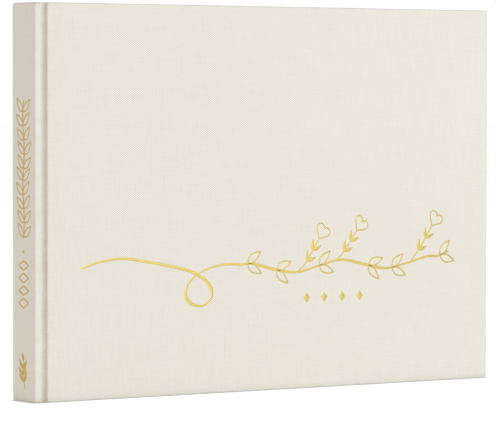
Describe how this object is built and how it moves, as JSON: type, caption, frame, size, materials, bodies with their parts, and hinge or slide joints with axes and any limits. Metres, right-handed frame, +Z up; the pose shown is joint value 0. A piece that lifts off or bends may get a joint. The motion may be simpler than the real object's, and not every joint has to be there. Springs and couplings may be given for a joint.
{
  "type": "guest book",
  "caption": "Landscape case-bound guest book in ivory linen cloth with a square spine, French joints and gold foil vine, heart and lozenge ornaments.",
  "frame": {"origin": "bottom centre of the standing book, on the surface that its tail edge stands on", "axes": "+X along the width from spine to fore-edge, +Y from the front cover to the back cover, +Z up from tail to head"},
  "size_m": [0.24, 0.0181, 0.1655],
  "materials": {
    "cover_cloth": "ivory linen bookcloth, plain weave, matt",
    "greyboard": "raw grey binder's board",
    "endpaper": "smooth uncoated cream endpaper",
    "page_paper": "uncoated off-white writing paper",
    "mull": "open starched cotton gauze",
    "kraft_paper": "brown kraft lining",
    "headband_silk": "cream silk wrapped over a cord",
    "linen_thread": "waxed linen sewing thread",
    "gold_foil": "hot-stamped metallic gold foil"
  },
  "bodies": {
    "text_block": {"spine_board": "greyboard", "spine_cloth": "cover_cloth", "spine_lining_paper": "kraft_paper", "spine_mull": "mull", "head_band": "headband_silk", "tail_band": "headband_silk", "sewing_thread": "linen_thread", "signature_01_fold": "page_paper", "signature_01_bend": "page_paper", "signature_02": "page_paper", "signature_03": "page_paper", "signature_04": "page_paper", "signature_05": "page_paper", "signature_06": "page_paper", "front_joint_cloth": "cover_cloth", "front_mull_hinge": "mull", "front_endpaper_hinge": "endpaper", "front_flyleaf_gutter": "endpaper", "front_flyleaf_bend": "endpaper", "back_joint_cloth": "cover_cloth", "back_mull_hinge": "mull", "back_endpaper_hinge": "endpaper", "back_flyleaf_gutter": "endpaper", "back_flyleaf_bend": "endpaper", "spine_foil_vine": "gold_foil", "spine_foil_lozenges": "gold_foil", "spine_foil_sprig": "gold_foil"},
    "front_cover": {"front_board": "greyboard", "front_cover_cloth": "cover_cloth", "front_pastedown": "endpaper", "front_mull_flap": "mull", "front_foil_vine": "gold_foil", "front_foil_leaves": "gold_foil", "front_foil_hearts": "gold_foil", "front_foil_lozenges": "gold_foil"},
    "back_cover": {"back_board": "greyboard", "back_cover_cloth": "cover_cloth", "back_pastedown": "endpaper", "back_mull_flap": "mull"},
    "front_flyleaf": {"front_flyleaf": "endpaper"},
    "back_flyleaf": {"back_flyleaf": "endpaper"},
    "leaf_01": {"leaf_01": "page_paper"},
    "leaf_02": {"leaf_02": "page_paper"},
    "leaf_03": {"leaf_03": "page_paper"},
    "leaf_04": {"leaf_04": "page_paper"},
    "leaf_05": {"leaf_05": "page_paper"},
    "leaf_06": {"leaf_06": "page_paper"},
    "leaf_07": {"leaf_07": "page_paper"},
    "leaf_08": {"leaf_08": "page_paper"}
  },
  "joints": [
    {"name": "front_cover_hinge", "type": "hinge", "parent": "text_block", "child": "front_cover", "pos_m": [-0.1168, -0.0092, 0.08275], "axis": [0, 0, -1], "range_deg": [0, 178], "deforming": ["front_joint_cloth", "front_mull_hinge", "front_endpaper_hinge"]},
    {"name": "back_cover_hinge", "type": "hinge", "parent": "text_block", "child": "back_cover", "pos_m": [-0.1168, 0.0092, 0.08275], "axis": [0, 0, 1], "range_deg": [0, 178], "deforming": ["back_joint_cloth", "back_mull_hinge", "back_endpaper_hinge"]},
    {"name": "front_flyleaf_turn", "type": "hinge", "parent": "text_block", "child": "front_flyleaf", "pos_m": [-0.1107, -0.00539, 0.08275], "axis": [0, 0, -1], "range_deg": [0, 96.12], "deforming": ["front_flyleaf_bend"]},
    {"name": "back_flyleaf_turn", "type": "hinge", "parent": "text_block", "child": "back_flyleaf", "pos_m": [-0.1107, 0.00539, 0.08275], "axis": [0, 0, 1], "range_deg": [0, 96.12], "deforming": ["back_flyleaf_bend"]},
    {"name": "leaf_01_turn", "type": "hinge", "parent": "text_block", "child": "leaf_01", "pos_m": [-0.1107, -0.00518, 0.08275], "axis": [0, 0, -1], "range_deg": [0, 81.88], "deforming": ["signature_01_bend"]},
    {"name": "leaf_02_turn", "type": "hinge", "parent": "text_block", "child": "leaf_02", "pos_m": [-0.1107, -0.00496, 0.08275], "axis": [0, 0, -1], "range_deg": [0, 71.2]},
    {"name": "leaf_03_turn", "type": "hinge", "parent": "text_block", "child": "leaf_03", "pos_m": [-0.1107, -0.00474, 0.08275], "axis": [0, 0, -1], "range_deg": [0, 60.52]},
    {"name": "leaf_04_turn", "type": "hinge", "parent": "text_block", "child": "leaf_04", "pos_m": [-0.1107, -0.00452, 0.08275], "axis": [0, 0, -1], "range_deg": [0, 49.84]},
    {"name": "leaf_05_turn", "type": "hinge", "parent": "text_block", "child": "leaf_05", "pos_m": [-0.1107, -0.0043, 0.08275], "axis": [0, 0, -1], "range_deg": [0, 39.16]},
    {"name": "leaf_06_turn", "type": "hinge", "parent": "text_block", "child": "leaf_06", "pos_m": [-0.1107, -0.00408, 0.08275], "axis": [0, 0, -1], "range_deg": [0, 28.48]},
    {"name": "leaf_07_turn", "type": "hinge", "parent": "text_block", "child": "leaf_07", "pos_m": [-0.1107, -0.00386, 0.08275], "axis": [0, 0, -1], "range_deg": [0, 17.8]},
    {"name": "leaf_08_turn", "type": "hinge", "parent": "text_block", "child": "leaf_08", "pos_m": [-0.1107, -0.00364, 0.08275], "axis": [0, 0, -1], "range_deg": [0, 8.9]}
  ],
  "couplings": [
    {"joint": "front_flyleaf_turn", "follows": "front_cover_hinge", "ratio": 0.54},
    {"joint": "back_flyleaf_turn", "follows": "back_cover_hinge", "ratio": 0.54},
    {"joint": "leaf_01_turn", "follows": "front_cover_hinge", "ratio": 0.46},
    {"joint": "leaf_02_turn", "follows": "front_cover_hinge", "ratio": 0.4},
    {"joint": "leaf_03_turn", "follows": "front_cover_hinge", "ratio": 0.34},
    {"joint": "leaf_04_turn", "follows": "front_cover_hinge", "ratio": 0.28},
    {"joint": "leaf_05_turn", "follows": "front_cover_hinge", "ratio": 0.22},
    {"joint": "leaf_06_turn", "follows": "front_cover_hinge", "ratio": 0.16},
    {"joint": "leaf_07_turn", "follows": "front_cover_hinge", "ratio": 0.1},
    {"joint": "leaf_08_turn", "follows": "front_cover_hinge", "ratio": 0.05}
  ]
}
